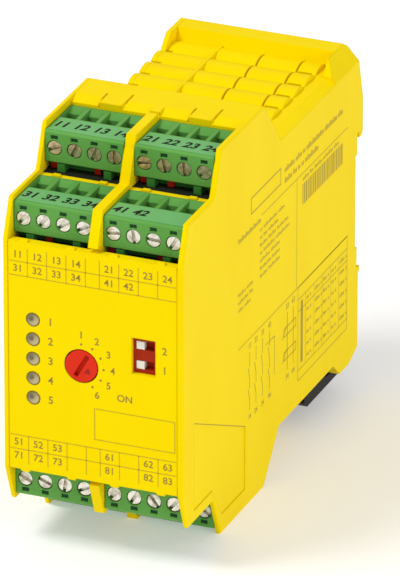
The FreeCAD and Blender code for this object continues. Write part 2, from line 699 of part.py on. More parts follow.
def make_clamps(name, tier, end, side):
    """Four wire clamps: square cages open from above, drilled for the screw."""
    place = place_at_bay(tier, end, side)
    flip = ENDS[end]
    face = TIERS[tier]["face"]
    clear = "cage_clear"
    cages = []
    for pole in range(poles()):
        x = f"{place['x']} + {flip} * {pole_place(pole)}"
        label = f"cage_{name}_{pole}"
        y0 = f"{face} + cage_start + {clear}"
        y1 = f"{face} + cage_end - {clear}"
        low, high = f"cage_bottom - {clear}", f"cage_top + {clear}"
        z0 = f"{place['z']} - {flip} * ({low if flip > 0 else high})"
        z1 = f"{place['z']} - {flip} * ({high if flip > 0 else low})"
        half = f"cage_half - {clear} / 2"
        outer = new_box(label + "_outer", f"{x} - ({half})", f"{x} + {half}", y0, y1, z0, z1)
        inner = new_box(label + "_inner", f"{x} - ({half}) + cage_wall", f"{x} + {half} - cage_wall",
                        f"{y0} + cage_wall", f"{y1} - cage_wall", f"{z0} - 1", f"{z1} + 1")
        drill = new_rod(label + "_drill", x, f"{place['z']} - {flip} * screw_drop",
                        "shank / 2 + 0.1", f"{y0} - 1", f"{y0} + cage_wall + 1")
        cages.append(cut(label, outer, [inner, drill]))
    return group("wire_clamps_" + name, cages)


def make_header(name, place):
    """The fixed half: a tray with two legs under the plug and a socket behind it."""
    body = new_body("header_" + name, **place)
    half = f"({BAY_HALF} - 0.1)"
    back = "(plug_length + bay_clear)"
    pad(body, "socket", "XZ", [rectangle(f"-{half}", half, "-tray_depth + 0.05", "-shroud_top")],
        back, f"{back} + shroud_length")
    pad(body, "tray", "XZ", [rectangle(f"-{half}", half, "-tray_depth + 0.05", "-tray_top")],
        "tray_setback", f"{back} + 1")
    legs = [rectangle(f"{place_} - leg_width / 2", f"{place_} + leg_width / 2",
                      "-tray_depth + 0.05", "-tray_top") for place_ in ("-leg_offset", "leg_offset")]
    pad(body, "legs", "XZ", legs, "0", "tray_setback + 0.5")
    room = [rectangle("-(nose_half + 0.2)", "nose_half + 0.2", "-nose_bottom - 0.2",
                      "-nose_top + 0.2")]
    pocket(body, "socket_room", "XZ", room, f"{back} - 0.1", f"{back} + nose_length + 0.1")
    first = pole_place(0)
    middle = "-(nose_top + nose_bottom) / 2"
    hole = pocket(body, "pin_hole", "XZ",
                  [rectangle(f"{first} - pin / 2", f"{first} + pin / 2", f"{middle} - pin / 2",
                             f"{middle} + pin / 2")], f"{back} + nose_length - 0.5",
                  f"{back} + shroud_length + 1")
    repeat(body, "pin_holes", [hole], "X", "pole_pitch", poles())
    return body


def make_pins():
    """Contact pins of every header, from inside its socket to the board behind it."""
    boards = {"front": "control_board", "rear": "power_board"}
    pins = []
    for name, tier, end, side in plug_places():
        place = place_at_bay(tier, end, side)
        flip = ENDS[end]
        start = f"{TIERS[tier]['face']} + plug_length + 1.4"
        for pole in range(poles()):
            x = f"{place['x']} + {flip} * {pole_place(pole)}"
            z = f"{place['z']} - {flip} * (nose_top + nose_bottom) / 2"
            pins.append(new_box(f"pin_{name}_{pole}", f"{x} - pin / 2", f"{x} + pin / 2",
                                start, boards[tier], f"{z} - pin / 2", f"{z} + pin / 2"))
    group("contact_pins", pins)


def make_coding():
    """Small coding pieces set in front of the header trays."""
    pieces = []
    for name, tier, end, side in plug_places():
        place = place_at_bay(tier, end, side)
        flip = ENDS[end]
        for number, offset in enumerate(CODING_PLACES[name]):
            x = f"{place['x']} + {flip} * {offset}"
            levels = sorted((-1, 1), key=lambda way: way * flip)
            low = "tray_depth - 0.05" if flip > 0 else "tray_top + 0.3"
            high = "tray_top + 0.3" if flip > 0 else "tray_depth - 0.05"
            front = f"{TIERS[tier]['face']} + tray_setback - 1"
            pieces.append(new_box(f"coding_{name}_{number}", f"{x} - coding / 2", f"{x} + coding / 2",
                                  front, f"{front} + 1", f"{place['z']} - {flip} * ({low})",
                                  f"{place['z']} - {flip} * ({high})"))
    group("coding_pieces", pieces)


def plug_places():
    for end in ENDS:
        for tier in TIERS:
            for side in SIDES:
                yield f"{end}_{tier}_{side}", tier, end, side


# ---------------------------------------------------------------- controls on the front board

def make_lenses():
    lenses, lamps = [], []
    for step in range(-2, 3):
        z = f"lens_mid + {step} * lens_pitch"
        stem = new_rod(f"lens_{step + 2}_stem", "lens_x", z, "lens_dia / 2", "0.1",
                       "front_board - 1.7")
        collar = new_rod(f"lens_{step + 2}_collar", "lens_x", z, "lens_dia / 2 + 0.5",
                         "cover_thick", "cover_thick + 0.8")
        lenses.append(join(f"lens_{step + 2}", [stem, collar]))
        lamps.append(new_box(f"lamp_{step + 2}", "lens_x - 0.8", "lens_x + 0.8",
                             "front_board - 1.5", "front_board", f"{z} - 0.8", f"{z} + 0.8"))
    group("status_lenses", lenses)
    group("status_lamps", lamps)


def make_dial():
    """The time selector: a round actuator with a screwdriver slot on a switch body."""
    disc = new_rod("dial_disc", "dial_x", "0", "dial_dia / 2", "0.2", "front_board - 4.3")
    stem = new_rod("dial_stem", "dial_x", "0", "1.5", "front_board - 4.4", "front_board - 2.6")
    slot = doc.addObject("Part::Box", "dial_slot")
    slot.setExpression("Length", expr("dial_dia * 0.8"))
    slot.setExpression("Width", expr("dial_slot_depth + 1"))
    slot.setExpression("Height", expr("dial_slot"))
    turn = math.radians(60.0)
    reach = "dial_dia * 0.4"
    seat_object(slot, "dial_slot",
                x=f"dial_x - {reach} * {math.cos(turn):.6f} + dial_slot / 2 * {math.sin(turn):.6f}",
                y="0.2 - 1 - front_depth",
                z=f"-{reach} * {math.sin(turn):.6f} - dial_slot / 2 * {math.cos(turn):.6f}",
                turn=-60.0)
    made["time_dial"] = cut("time_dial", join("dial_turned", [disc, stem]), [slot])
    case = new_box("selector_case", "dial_x - 5.2", "dial_x + 5.2", "front_board - 4.1",
                   "front_board", "-5.2", "5.2")
    bore = new_rod("selector_bore", "dial_x", "0", "1.55", "front_board - 5", "front_board - 2.4")
    made["selector_switch"] = cut("selector_switch", case, [bore])


def make_dip():
    """The two-way slide switch: a block with two slots and a slider in each."""
    block = new_box("dip_block", "dip_x - dip_width / 2 + 0.1", "dip_x + dip_width / 2 - 0.1",
                    "dip_inset", "front_board", "dip_z - dip_height / 2 + 0.1",
                    "dip_z + dip_height / 2 - 0.1")
    slots = []
    for name, way in (("a", -1), ("b", 1)):
        z = f"dip_z + {way} * dip_pitch / 2"
        slots.append(new_box(f"dip_slot_{name}", "dip_x - dip_slot / 2", "dip_x + dip_slot / 2",
                             "dip_inset - 1", "dip_inset + 1.6", f"{z} - dip_slot_height / 2",
                             f"{z} + dip_slot_height / 2"))
        knob_start = "dip_x - dip_slot / 2 + 0.05"
        made[f"dip_slider_{name}"] = new_box(
            f"dip_slider_{name}", knob_start, f"{knob_start} + dip_knob", "dip_inset - 0.1",
            "dip_inset + 1.55", f"{z} - dip_slot_height / 2 + 0.1",
            f"{z} + dip_slot_height / 2 - 0.1")
    made["dip_switch"] = cut("dip_switch", block, slots)


# ---------------------------------------------------------------- boards and power parts

def make_boards():
    for name in ("front_board", "control_board", "power_board"):
        made[name] = new_box(name, "board_left", "board_right", name, f"{name} + board",
                             f"-{name}_half", f"{name}_half")
    made["board_link_front"] = new_box("board_link_front", "-10", "10", "front_board + board",
                                       "control_board", "-18.5", "-16")
    made["board_link_rear"] = new_box("board_link_rear", "-12", "12", "control_board + board",
                                      "power_board", "-2.5", "0")


def make_relays():
    number = 0
    for way in (1, -1):
        for side in (-1, 1):
            number += 1
            body = new_body(f"relay_{number}", x=f"{side} * relay_x", z=f"{way} * relay_z")
            start = "power_board + board"
            pad(body, "case", "XZ",
                [rectangle("-relay_width / 2", "relay_width / 2", "-relay_length / 2",
                           "relay_length / 2")], start, f"{start} + relay_height")
            ridge = rectangle("-relay_width / 2 + 1.2", "relay_width / 2 - 1.2",
                              "-relay_length / 2 + 1.2", "relay_length / 2 - 1.2")
            pocket(body, "lid_recess", "XZ", [ridge], f"{start} + relay_height - 0.4",
                   f"{start} + relay_height + 1")


def make_small_parts():
    start = "control_board + board"
    group("capacitors", [
        new_rod(f"capacitor_{side + 1}", f"{side} * capacitor_x", "capacitor_z",
                "capacitor_dia / 2", start, f"{start} + capacitor_length") for side in (-1, 1)])
    group("logic_chips", [
        new_box(f"chip_{side + 1}", f"{side} * chip_x - chip / 2", f"{side} * chip_x + chip / 2",
                "control_board - chip_height", "control_board", "-chip / 2", "chip / 2")
        for side in (-1, 1)])


# ---------------------------------------------------------------- foot latch

def make_latch():
    body = new_body("rail_latch")
    back = "front_depth"
    clear = "latch_clear"
    flange = [("latch_front", "-foot_top"), ("latch_step", "-foot_top"),
              ("latch_step", "-(latch_bottom - 2.2)"), ("latch_front", "-(latch_bottom - 2.2)")]
    pad(body, "flange", "YZ", [flange], "-latch_half", "latch_half")
    nose = f"{back} + rail_thick + 1.5 * rail_clear"
    neck = [("latch_step - 0.5", "-foot_top"), (f"{back} + {clear}", "-foot_top"),
            (f"{back} + {clear}", "-(rail_half + 2 * rail_clear)"),
            (nose, "-(rail_half + 2 * rail_clear)"), (nose, "-(rail_half - 1)"),
            (f"{nose} + 0.5", "-(rail_half - 1)"), (f"{back} + hook_reach - 0.3", "-(foot_top - 1)"),
            (f"{back} + hook_reach - 0.3", "-(foot_top + 2)"),
            (f"{back} + foot_back", "-(foot_top + 4.5)"),
            (f"{back} + foot_back", "-(latch_bottom - 2.2)"),
            ("latch_step - 0.5", "-(latch_bottom - 2.2)")]
    pad(body, "neck", "YZ", [neck], "-latch_neck", "latch_neck")
    handle = [("handle_front", "-(body_half + louvre_rise + 0.5)"),
              ("ear_start - 6", "-(body_half + louvre_rise + 0.5)"),
              ("ear_start + ear_run - 1", "-(lip_half + 0.6)"),
              (f"{back} - 0.6", "-(lip_half + 0.6)"), (f"{back} - 0.6", "-latch_bottom + 1"),
              (f"{back} - 2.2", "-latch_bottom"), ("handle_front + 2", "-latch_bottom"),
              ("handle_front", "-latch_bottom + 1.6")]
    pad(body, "handle", "YZ", [handle], "-latch_half", "latch_half")
    pocket(body, "window", "XZ",
           [rectangle("-window_half", "window_half", "-(spring_seat + 1.7)",
                      "-(spring_seat - spring_rise - 0.3)")], "latch_front - 1",
           "latch_step + 0.2")
    return body


def make_spring():
    """A bowed leaf whose ends stand on the seat and whose crown carries the latch."""
    radius = "((spring_half * spring_half + spring_rise * spring_rise) / (2 * spring_rise))"
    crown = "(-spring_seat + spring_rise)"
    outer = new_rod("spring_outer", "0", f"{crown} - {radius}", radius, "latch_front + 0.3",
                    "latch_step - 0.3")
    inner = new_rod("spring_inner", "0", f"{crown} - {radius}", f"{radius} - spring_thick",
                    "latch_front - 1", "latch_step + 1")
    below = new_box("spring_below", "-20", "20", "latch_front - 1", "latch_step + 1",
                    "-spring_seat - 30", "-spring_seat + 0.02")
    made["latch_spring"] = cut("latch_spring", outer, [inner, below])


# ---------------------------------------------------------------- build, check, export

def build_all():
    fill_sheet()
    make_housing()
    make_side_cover()
    make_front_cover()
    for name, tier, end, side in plug_places():
        make_plug(name, place_at_bay(tier, end, side))
        make_screws(name, tier, end, side)
        make_clamps(name, tier, end, side)
        make_header(name, place_at_bay(tier, end, side))
    make_pins()
    make_coding()
    make_lenses()
    make_dial()
    make_dip()
    make_boards()
    make_relays()
    make_small_parts()
    make_latch()
    make_spring()
    doc.recompute()


def check_pockets():
    """Every pocket must have taken material away from the feature before it."""
    for item in doc.Objects:
        if item.TypeId == "PartDesign::Pocket":
            if item.BaseFeature.Shape.Volume - item.Shape.Volume < 1e-4:
                raise RuntimeError("pocket without a cut: " + item.Label)


def check_and_export():
    failed = [item.Label for item in doc.Objects if "Invalid" in item.State or "Error" in item.State]
    if failed:
        raise RuntimeError("failed objects: " + ", ".join(failed))
    check_pockets()
    for name, item in made.items():
        if item.Shape.isNull() or not item.Shape.isValid():
            raise RuntimeError("bad shape: " + name)
    for name, item in made.items():
        item.Shape.exportStep(f"parts/{name}.step")
        print(f"{name}: {len(item.Shape.Solids)} solids, {item.Shape.Volume:.1f} mm3")


build_all()
check_and_export()
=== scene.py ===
"""Looks of the safety relay: camera, light, floor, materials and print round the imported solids.

Print is laid out in millimetres. All else is in metres, with MM where a size is small.
"""

import math

import bmesh
import bpy
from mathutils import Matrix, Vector


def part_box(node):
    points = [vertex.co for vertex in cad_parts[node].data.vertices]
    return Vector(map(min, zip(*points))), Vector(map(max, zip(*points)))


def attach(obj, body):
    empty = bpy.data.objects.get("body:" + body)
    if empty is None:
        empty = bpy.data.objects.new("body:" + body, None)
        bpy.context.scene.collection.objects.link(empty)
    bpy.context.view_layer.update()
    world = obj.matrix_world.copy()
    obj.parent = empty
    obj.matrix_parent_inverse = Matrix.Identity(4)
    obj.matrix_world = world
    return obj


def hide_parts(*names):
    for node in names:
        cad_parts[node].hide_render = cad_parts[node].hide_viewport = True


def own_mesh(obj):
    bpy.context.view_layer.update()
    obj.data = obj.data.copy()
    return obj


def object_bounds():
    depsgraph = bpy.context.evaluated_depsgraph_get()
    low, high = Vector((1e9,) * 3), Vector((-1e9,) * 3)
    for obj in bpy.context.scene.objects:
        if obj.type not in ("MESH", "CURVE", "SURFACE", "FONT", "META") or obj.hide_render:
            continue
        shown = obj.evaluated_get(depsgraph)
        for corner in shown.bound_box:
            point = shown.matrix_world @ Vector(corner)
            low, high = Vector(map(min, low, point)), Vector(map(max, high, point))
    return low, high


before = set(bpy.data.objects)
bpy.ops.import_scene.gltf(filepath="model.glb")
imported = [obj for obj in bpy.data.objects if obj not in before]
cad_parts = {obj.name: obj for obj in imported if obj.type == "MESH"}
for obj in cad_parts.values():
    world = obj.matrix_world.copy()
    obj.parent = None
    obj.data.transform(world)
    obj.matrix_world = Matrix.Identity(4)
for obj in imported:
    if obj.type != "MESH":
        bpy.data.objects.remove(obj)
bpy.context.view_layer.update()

MM = 0.001
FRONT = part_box("front_cover")[0].y
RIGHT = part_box("housing_body")[1].x
FILM = 0.03 * MM

# ------------------------------------------------------------------ camera

# Angles are in degrees: azimuth from the front towards +X, elevation upwards. The lens and its
# sensor are in millimetres.
AZIMUTH, ELEVATION, DISTANCE = 22.1, 24.8, 2.4
LENS, SENSOR = 635.0, 36.0
AIM = Vector((0.00433, -0.05539, -0.00246))


def look_direction(azimuth, elevation):
    """Unit vector from the object towards a viewer."""
    a, e = math.radians(azimuth), math.radians(elevation)
    return Vector((math.sin(a) * math.cos(e), -math.cos(a) * math.cos(e), math.sin(e)))


def aim_back(thing, direction):
    """Turn a camera or light that stands in a direction so that it looks back along it."""
    thing.rotation_mode = "QUATERNION"
    thing.rotation_quaternion = (-direction).to_track_quat("-Z", "Y")


def add_camera():
    data = bpy.data.cameras.new("camera")
    data.lens = LENS
    data.sensor_width = SENSOR
    data.clip_start, data.clip_end = 0.1, 20.0
    camera = bpy.data.objects.new("camera", data)
    back = look_direction(AZIMUTH, ELEVATION)
    camera.location = AIM + back * DISTANCE
    aim_back(camera, back)
    bpy.context.scene.collection.objects.link(camera)
    bpy.context.scene.camera = camera


# ------------------------------------------------------------------ materials

def linear(red, green, blue):
    """Colour in scene units from display values of 0 to 255."""
    def one(value):
        value = value / 255
        return value / 12.92 if value <= 0.04045 else ((value + 0.055) / 1.055) ** 2.4
    return (one(red), one(green), one(blue), 1.0)


def plug_in(tree, value, slot):
    """Link a wire to a node's input, or set the input to a constant."""
    if isinstance(value, Wire):
        tree.links.new(value.socket, slot)
    else:
        slot.default_value = value


class Wire:
    """A value on its way through a material. Arithmetic on it adds Math nodes."""

    def __init__(self, tree, socket):
        self.tree = tree
        self.socket = socket

    def math(self, operation, *terms):
        """One Math node on the wires and numbers given; called on the first of them."""
        node = self.tree.nodes.new("ShaderNodeMath")
        node.operation = operation
        for slot, term in zip(node.inputs, (self, *terms)):
            plug_in(self.tree, term, slot)
        return Wire(self.tree, node.outputs[0])

    def __add__(self, other):
        return self.math("ADD", other)

    __radd__ = __add__

    def __sub__(self, other):
        return self.math("SUBTRACT", other)

    def __rsub__(self, other):
        return self * -1.0 + other

    def __mul__(self, other):
        return self.math("MULTIPLY", other)

    __rmul__ = __mul__

    def over(self, low, high):
        """0 below low, 1 above high, and smooth between."""
        node = self.tree.nodes.new("ShaderNodeMapRange")
        node.interpolation_type = "SMOOTHSTEP"
        for key, value in (("Value", self), ("From Min", low), ("From Max", high)):
            plug_in(self.tree, value, node.inputs[key])
        return Wire(self.tree, node.outputs["Result"])


class Paint:
    """One procedural material: a principled shader and the textures that feed it."""

    def __init__(self, name, **constants):
        self.material = bpy.data.materials.new(name)
        self.material.use_nodes = True
        self.tree = self.material.node_tree
        self.shader = self.tree.nodes["Principled BSDF"]
        for socket, value in constants.items():
            self.shader.inputs[socket.replace("_", " ")].default_value = value

    def node(self, kind, sources=None, **settings):
        """A node with its settings and, by name, what goes into its inputs."""
        node = self.tree.nodes.new("ShaderNode" + kind)
        for key, value in settings.items():
            setattr(node, key, value)
        for key, value in (sources or {}).items():
            plug_in(self.tree, value, node.inputs[key])
        return node

    def wire(self, node, output=0):
        """One output of a node, by number or name."""
        return Wire(self.tree, node.outputs[output])

    def place(self, stretch=(1, 1, 1)):
        """Object coordinates, stretched along each axis."""
        point = self.wire(self.node("TexCoord"), "Object")
        return self.wire(self.node("Mapping", {"Vector": point, "Scale": stretch}))

    def axes(self):
        """The three object coordinates, each as a value of its own."""
        split = self.node("SeparateXYZ", {"Vector": self.place()})
        return [self.wire(split, number) for number in range(3)]

    def noise(self, size, detail=3.0, stretch=(1, 1, 1)):
        """Smooth noise whose lumps are about size metres across."""
        return self.wire(self.node("TexNoise", {
            "Vector": self.place(stretch), "Scale": 1 / size, "Detail": detail}), "Fac")

    def cells(self, size):
        """Distance to scattered points about size metres apart."""
        return self.wire(self.node("TexVoronoi", {
            "Vector": self.place(), "Scale": 1 / size}), "Distance")

    def blend(self, factor, first, second):
        """The first colour where the factor is 0, and the second where it is 1."""
        node = self.node("Mix", data_type="RGBA")
        slots = [item for item in node.inputs if item.enabled]
        for slot, value in zip(slots, (factor, first, second)):
            plug_in(self.tree, value, slot)
        return Wire(self.tree, next(item for item in node.outputs if item.enabled))

    def relief(self, height, depth, edge=None):
        """Bump of a given depth in metres, over edges rounded to a radius."""
        sources = {"Height": height, "Distance": depth, "Strength": 1.0}
        if edge:
            sources["Normal"] = self.wire(self.node("Bevel", {"Radius": edge}, samples=6))
        self.feed("Normal", self.wire(self.node("Bump", sources)))

    def feed(self, socket, wire):
        """Let a wire drive one of the shader's inputs."""
        self.tree.links.new(wire.socket, self.shader.inputs[socket])


def moulded(name, colour, shade, roughness, grain=0.16 * MM, depth=0.006 * MM,
            edge=0.35 * MM, density=1.45):
    """Injection-moulded plastic: spark-eroded grain, faint flow marks and rounded edges."""
    paint = Paint(name, Specular_IOR_Level=0.4, Specular_Tint=linear(*colour), IOR=density)
    flow = paint.noise(14 * MM, 2.0, (1, 1, 0.4))
    paint.feed("Base Color", paint.blend(flow.over(0.35, 0.75), linear(*colour), linear(*shade)))
    fine = paint.noise(grain, 2.0)
    paint.feed("Roughness", roughness + 0.10 * fine + 0.05 * flow)
    paint.relief(fine + 0.3 * paint.noise(0.9 * MM, 2.0), depth, edge)
    return paint.material


def machined(name, colour, shade, roughness):
    """Plated metal with fine turning marks and dull spots."""
    paint = Paint(name, Metallic=1.0)
    marks = paint.noise(0.12 * MM)
    dull = paint.noise(1.3 * MM)
    paint.feed("Base Color", paint.blend(dull.over(0.4, 0.7), linear(*colour), linear(*shade)))
    paint.feed("Roughness", roughness + 0.2 * dull + 0.1 * marks)
    paint.relief(marks, 0.01 * MM, 0.12 * MM)
    return paint.material


def ink(name, colour):
    """Screen print, also used for sheets of painted shade: flat, slightly uneven, dull."""
    paint = Paint(name, Specular_IOR_Level=0.2)
    speck = paint.noise(0.25 * MM)
    paler = tuple(min(255, value + 22) for value in colour)
    paint.feed("Base Color", paint.blend(speck.over(0.45, 0.7), linear(*colour), linear(*paler)))
    paint.feed("Roughness", 0.55 + 0.1 * speck)
    return paint.material


def frosted(name, colour, shade):
    """Frosted clear plastic of a lamp."""
    paint = Paint(name, Specular_IOR_Level=0.5)
    cloud = paint.noise(1.1 * MM)
    paint.feed("Base Color", paint.blend(cloud.over(0.35, 0.7), linear(*colour), linear(*shade)))
    paint.feed("Roughness", 0.28 + 0.15 * cloud)
    paint.relief(paint.noise(0.3 * MM, 2.0), 0.01 * MM, 0.25 * MM)
    return paint.material


LENSES = 5


def lamp_window(name, radius):
    """Smoked lenses in a column, each with painted shade: darker at the upper left and lighter at the
    lower right as a hollow face is lit, a dark rim at its edge, and a dark spot a little up and left
    of its middle.
    """
    low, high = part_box("status_lenses")
    flange = (high.x - low.x) / 2
    pitch = (high.z - low.z - 2 * flange) / (LENSES - 1)
    paint = Paint(name, Specular_IOR_Level=0.5)
    x, _, z = paint.axes()
    across = x - (low.x + high.x) / 2
    rise = (z - (low.z + flange - pitch / 2)).math("FLOORED_MODULO", pitch) - pitch / 2
    reach = (across * across + rise * rise).math("SQRT")
    spot_x, spot_z = across + 0.25 * radius, rise - 0.15 * radius
    spot = (spot_x * spot_x + spot_z * spot_z).math("SQRT")
    # painted shading: each lens face darker to the upper left, lighter to the lower right
    light = (across - rise).over(-1.2 * radius, 1.2 * radius)
    face = paint.blend(light, linear(116, 104, 66), linear(190, 176, 132))
    face = paint.blend(spot.over(0.5 * radius, 0.25 * radius), face, linear(104, 92, 62))
    # painted shade: a dark rim round the edge of each lens
    rim = reach.over(0.72 * radius, 0.98 * radius)
    paint.feed("Base Color", paint.blend(rim, face, linear(120, 102, 40)))
    paint.feed("Roughness", 0.25 + 0.15 * paint.noise(0.5 * MM))
    return paint.material


def circuit_board(name):
    """Green solder resist with paler copper tracks showing through."""
    paint = Paint(name, Specular_IOR_Level=0.5)
    tracks = paint.cells(2.4 * MM).over(0.42, 0.5)
    paint.feed("Base Color", paint.blend(tracks, linear(16, 84, 44), linear(46, 122, 62)))
    paint.feed("Roughness", 0.3 + 0.2 * paint.noise(0.6 * MM))
    paint.relief(tracks, 0.03 * MM)
    return paint.material


# ------------------------------------------------------------------ pieces

def add_object(mesh, name, material):
    """Turn a bmesh into an object in the scene, with flat faces."""
    data = bpy.data.meshes.new(name)
    mesh.to_mesh(data)
    mesh.free()
    data.materials.append(material)
    data.shade_flat()
    thing = bpy.data.objects.new(name, data)
    bpy.context.scene.collection.objects.link(thing)
    return thing


def finish_mesh(mesh, name, material, body):
    """Turn a bmesh into a piece that rides on a body."""
    piece = add_object(mesh, name, material)
    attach(piece, body)
    return piece


DOT_SIDES = 20
TICK_STEP, TICK_WIDTH = 0.8, 0.62 * 0.8


class Print:
    """Flat ink, and flat sheets of painted shade, on one plane of the object, in millimetres along its
    own two axes.
    """

    def __init__(self, origin, across, up):
        self.origin = Vector(origin)
        self.across = Vector(across)
        self.up = Vector(up)
        self.normal = self.across.cross(self.up)
        self.mesh = bmesh.new()

    def spot(self, u, v):
        """A place on the plane, raised by the film's thickness."""
        return self.origin + self.across * (u * MM) + self.up * (v * MM) + self.normal * FILM

    def shape(self, points):
        """A flat shape through the points."""
        corners = [self.mesh.verts.new(self.spot(u, v)) for u, v in points]
        self.mesh.faces.new(corners)

    def bar(self, u0, u1, v0, v1):
        """A filled rectangle from u0 to u1 and from v0 to v1."""
        self.shape([(u0, v0), (u1, v0), (u1, v1), (u0, v1)])

    def line(self, u0, v0, u1, v1, width):
        """A straight stroke from one point to another."""
        run = Vector((u1 - u0, v1 - v0)).normalized() * width / 2
        side = Vector((-run.y, run.x))
        self.shape([(u0 - side.x, v0 - side.y), (u1 - side.x, v1 - side.y),
                    (u1 + side.x, v1 + side.y), (u0 + side.x, v0 + side.y)])

    def box(self, u0, u1, v0, v1, width):
        """An empty rectangle from u0 to u1 and from v0 to v1, drawn as four strokes."""
        h = width / 2
        self.bar(u0 - h, u1 + h, v0 - h, v0 + h)
        self.bar(u0 - h, u1 + h, v1 - h, v1 + h)
        self.bar(u0 - h, u0 + h, v0 + h, v1 - h)
        self.bar(u1 - h, u1 + h, v0 + h, v1 - h)

    def dot(self, u, v, radius):
        """A filled circle."""
        turns = [2 * math.pi * number / DOT_SIDES for number in range(DOT_SIDES)]
        self.shape([(u + radius * math.cos(turn), v + radius * math.sin(turn)) for turn in turns])

    def ticks(self, u, v, lengths, height):
        """A row of plain ticks in place of small print, one run for each word's length."""
        foot = v - height / 2
        for length in lengths:
            count = max(1, round(length / TICK_STEP))
            for tick in range(count):
                tall = height if (5 * tick + count) % 3 == 0 else 0.7 * height
                left = u + TICK_STEP * tick
                self.bar(left, left + TICK_WIDTH, foot, foot + tall)
            u += TICK_STEP * (count + 0.8)

    def words(self, text, u, v, size, stretch=1.0, lean=0.0, bold=0.015):
        """Plain figures centred on a spot."""
        curve = bpy.data.curves.new("figures", "FONT")
        curve.body = text
        curve.size = size
        curve.align_x = "CENTER"
        curve.align_y = "CENTER"
        curve.shear = lean
        curve.offset = bold * size
        curve.resolution_u = 3
        holder = bpy.data.objects.new("figures", curve)
        flat = bpy.data.meshes.new_from_object(holder)
        corners = [self.mesh.verts.new(self.spot(u + vertex.co.x * stretch, v + vertex.co.y))
                   for vertex in flat.vertices]
        for face in flat.polygons:
            self.mesh.faces.new([corners[index] for index in face.vertices])
        bpy.data.objects.remove(holder)
        bpy.data.curves.remove(curve)
        bpy.data.meshes.remove(flat)

    def done(self, name, material, body):
        """Make the print a piece that rides on a body."""
        finish_mesh(self.mesh, name, material, body)


# ------------------------------------------------------------------ numbers of the terminals

TERMINALS = {
    "top_front": ("31", "32", "33", "34", "", "41", "42", "", ""),
    "top_rear": ("11", "12", "13", "14", "", "21", "22", "23", "24"),
    "bottom_front": ("51", "52", "53", "", "", "61", "", "62", "63"),
    "bottom_rear": ("71", "72", "73", "", "", "81", "", "82", "83"),
}
HALVES = {"left": slice(0, 4), "right": slice(5, 9)}


def plug_figures():
    """Each plug's name, without its prefix, and its four figures."""
    return {f"{tier}_{half}": figures[part]
            for tier, figures in TERMINALS.items() for half, part in HALVES.items()}


# ------------------------------------------------------------------ print on the front panel

# Its places are from the panel's middle, to the right and up.
RULE = 0.22
FIGURE, LAMP_FIGURE, SWITCH_FIGURE = 2.5, 2.7, 2.6

# a table: levels of its inner rule, middle rule and outer edge, its columns' widths, and how far
# its rules reach to each side
TABLE_INNER, TABLE_MIDDLE, TABLE_OUTER = 20.5, 24.05, 27.5
COLUMNS = (4.85,) * 4 + (3.5,) + (4.85,) * 4
RULE_REACH = 20.9

# the dial's scale: its middle, and how far out its dots and numbers stand
DIAL, SETTINGS, SETTING_STEP = -2.9, 6, 30
DOT_REACH, DOT_RADIUS, NUMBER_REACH = 5.6, 0.3, 7.9

# the lamps' numbers, and those of the switch's two sliders
LAMP_COLUMN, LAMP_TOP, LAMP_PITCH = -10.6, 9.8, 5
SWITCH_COLUMN, SWITCH_LEVELS = 18.0, {"2": 7.3, "1": 2.4}


def print_tables(figures, rules):
    """Tables of the terminals' numbers along the panel's top and bottom."""
    edges = [sum(COLUMNS[:count]) - sum(COLUMNS) / 2 for count in range(len(COLUMNS) + 1)]
    rows = {
        "top_rear": (TABLE_MIDDLE, TABLE_OUTER), "top_front": (TABLE_INNER, TABLE_MIDDLE),
        "bottom_front": (-TABLE_MIDDLE, -TABLE_INNER), "bottom_rear": (-TABLE_OUTER, -TABLE_MIDDLE),
    }
    for tier, (low, high) in rows.items():
        for figure, left, right in zip(TERMINALS[tier], edges, edges[1:]):
            if figure:
                figures.words(figure, (left + right) / 2, (low + high) / 2, FIGURE, bold=0.012)
    for level in (TABLE_INNER, TABLE_MIDDLE, -TABLE_INNER, -TABLE_MIDDLE):
        rules.line(-RULE_REACH, level, RULE_REACH, level, RULE)
    end = TABLE_OUTER + 0.1
    for edge in edges[1:-1]:
        for low, high in ((TABLE_INNER, end), (-end, -TABLE_INNER)):
            rules.line(edge, low, edge, high, width=0.2)


def print_scale(figures):
    """A dot and a number at each of the dial's settings."""
    for number in range(SETTINGS):
        angle = math.radians(90 - SETTING_STEP * number)
        right, up = math.cos(angle), math.sin(angle)
        figures.dot(DIAL + DOT_REACH * right, DOT_REACH * up, DOT_RADIUS)
        figures.words(str(number + 1), DIAL + NUMBER_REACH * right, NUMBER_REACH * up, FIGURE)


def print_panel(figure_ink, rule_ink):
    """Figures and rules on the front panel."""
    figures = Print((0, FRONT, 0), (1, 0, 0), (0, 0, 1))
    rules = Print((0, FRONT, 0), (1, 0, 0), (0, 0, 1))
    print_tables(figures, rules)
    for number in range(LENSES):
        level = LAMP_TOP - LAMP_PITCH * number
        figures.words(str(number + 1), LAMP_COLUMN, level, LAMP_FIGURE)
    figures.words("ON", 8.0, -6.6, FIGURE)
    print_scale(figures)
    for number, level in SWITCH_LEVELS.items():
        figures.words(number, SWITCH_COLUMN, level, SWITCH_FIGURE)
    rules.box(0.4, 20.5, -18.2, -10.3, RULE)
    figures.done("panel_print", figure_ink, "housing")
    rules.done("panel_rules", rule_ink, "housing")


# ------------------------------------------------------------------ print on the right wall

# Its places are back from the panel's face and up from the rail's middle.
TABLE_FRONT, TABLE_BACK = 72.4, 104.4
TABLE_TOP, TABLE_BOTTOM = -6.6, -31.0
TABLE_HEAD, TABLE_BODY, TABLE_FOOT = -9.8, -12.9, -28.4
TABLE_CELLS, TABLE_COLUMNS, COLUMN_PITCH = 77.3, 5, 5.4


